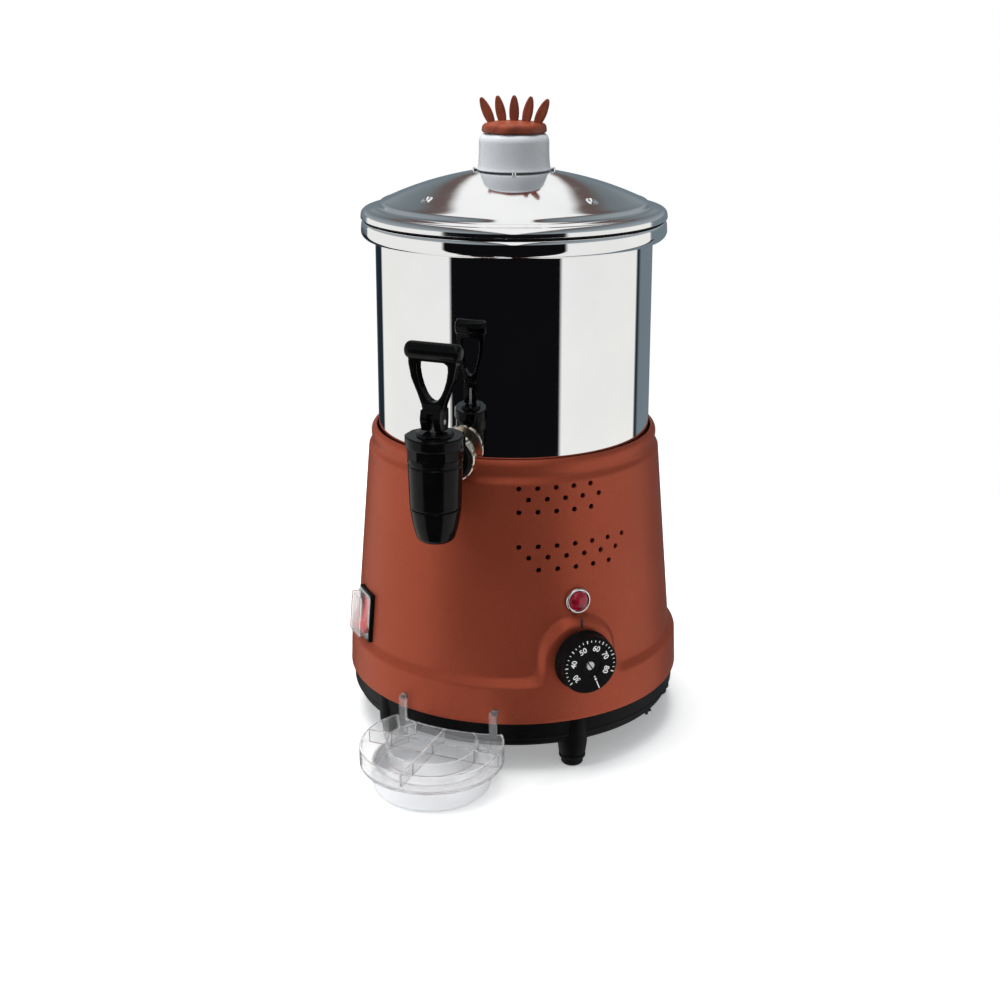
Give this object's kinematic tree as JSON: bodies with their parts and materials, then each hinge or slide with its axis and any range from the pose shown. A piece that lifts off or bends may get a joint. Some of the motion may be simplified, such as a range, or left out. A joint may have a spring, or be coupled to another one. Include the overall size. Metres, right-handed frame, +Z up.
{
  "type": "heated sauce dispenser",
  "caption": "Countertop heated dispenser for warm cheese sauce or drinking chocolate: mirror-steel water-jacketed tank, stirrer, front tap, copper-coloured housing and clear drip tray.",
  "frame": {"origin": "middle of the footprint, on the counter", "axes": "+Z up, tap and drip tray towards -Y, thermostat knob on the +X side"},
  "size_m": [0.286, 0.3866, 0.5318],
  "materials": {
    "copper_paint": "satin metallic copper paint on moulded plastic",
    "black_plastic": "satin black moulding",
    "tap_plastic": "gloss black",
    "rubber": "matt",
    "mirror_steel": "mirror-polished stainless steel",
    "brushed_steel": "satin stainless steel",
    "nickel": "warm nickel plate",
    "brass": "turned",
    "aluminium": "die cast",
    "copper_tube": "drawn copper",
    "clear_plastic": "clear polycarbonate",
    "frosted_plastic": "frosted white, translucent",
    "white_plastic": "food-grade acetal",
    "red_lens": "clear red lens",
    "brown_plastic": "satin red-brown moulding",
    "silicone": "translucent silicone"
  },
  "bodies": {
    "base": {"housing_shell": "copper_paint", "base_pan": "black_plastic", "rubber_feet": "rubber", "foot_studs": "brushed_steel", "housing_screws": "brushed_steel", "pillar_bolts": "brushed_steel", "tank_pillars": "brushed_steel", "water_jacket": "mirror_steel", "product_vessel": "mirror_steel", "column_tube": "brushed_steel", "shaft_bushes": "brass", "heating_element": "brushed_steel", "element_nuts": "brass", "safety_cutout": "brushed_steel", "gearbox_case": "aluminium", "gearbox_cover": "aluminium", "motor_can": "brushed_steel", "motor_stator": "brushed_steel", "motor_bracket": "brushed_steel", "bracket_spacers": "brushed_steel", "bracket_screws": "brushed_steel", "thermostat_body": "black_plastic", "thermostat_capillary": "copper_tube", "lamp_bezel": "nickel", "lamp_lens": "red_lens", "lamp_body": "black_plastic", "switch_frame": "black_plastic", "switch_case": "black_plastic", "splash_cover": "clear_plastic", "terminal_block": "black_plastic", "cord_gland": "black_plastic", "tap_spigot": "nickel", "spigot_nut": "nickel", "tap_flange": "black_plastic", "tap_body": "tap_plastic", "tap_nozzle": "tap_plastic", "tap_bonnet": "tap_plastic", "tap_spring": "brushed_steel"},
    "stirrer": {"output_gear": "white_plastic", "gear_shaft": "brushed_steel", "drive_shaft": "brushed_steel", "shaft_coupling": "brass", "stirrer_frame": "white_plastic", "scraper_blades": "white_plastic"},
    "rotor": {"motor_rotor": "brushed_steel", "motor_pinion": "brass"},
    "knob": {"thermostat_spindle": "brushed_steel", "thermostat_knob": "black_plastic"},
    "rocker": {"switch_rocker": "red_lens"},
    "tap_lift": {"tap_plunger": "silicone", "tap_stem": "brushed_steel", "handle_pin": "brushed_steel"},
    "tap_lever": {"tap_handle": "tap_plastic"},
    "drip_tray": {"tray_grid": "clear_plastic", "drip_cup": "frosted_plastic"},
    "lid": {"lid_dome": "mirror_steel", "lid_gasket": "rubber", "lid_tower": "frosted_plastic", "lid_rivets": "mirror_steel", "lid_crown": "brown_plastic"}
  },
  "joints": [
    {"name": "lid_lift", "type": "slide", "parent": "base", "child": "lid", "axis": [0, 0, 1], "range_m": [0, 0.15]},
    {"name": "stirrer_spin", "type": "hinge", "parent": "base", "child": "stirrer", "pos_m": [0, 0.03525, 0.3], "axis": [0, 0, 1], "continuous": true},
    {"name": "rotor_spin", "type": "hinge", "parent": "base", "child": "rotor", "pos_m": [0, 0.07275, 0.12], "axis": [0, 0, 1], "continuous": true},
    {"name": "knob_turn", "type": "hinge", "parent": "base", "child": "knob", "pos_m": [0.10607, -0.07082, 0.096], "axis": [-0.7071, 0.7071, 0], "range_deg": [0, 270]},
    {"name": "rocker_tilt", "type": "hinge", "parent": "base", "child": "rocker", "pos_m": [-0.09395, -0.0587, 0.10165], "axis": [0.7071, -0.7071, 0], "range_deg": [0, 18]},
    {"name": "tap_stem_lift", "type": "slide", "parent": "base", "child": "tap_lift", "axis": [0, 0, 1], "range_m": [0, 0.00602], "deforming": ["tap_spring"]},
    {"name": "tap_handle_tilt", "type": "hinge", "parent": "tap_lift", "child": "tap_lever", "pos_m": [0, -0.12375, 0.298], "axis": [1, 0, 0], "range_deg": [0, 60], "stiffness_Nm_per_rad": 0.25, "springref_deg": -20.05},
    {"name": "tray_pull", "type": "slide", "parent": "base", "child": "drip_tray", "axis": [0, -1, 0], "range_m": [0, 0.09]}
  ],
  "couplings": [
    {"joint": "rotor_spin", "follows": "stirrer_spin", "ratio": -4},
    {"joint": "tap_stem_lift", "follows": "tap_handle_tilt", "m_per_rad": 0.0057296}
  ]
}
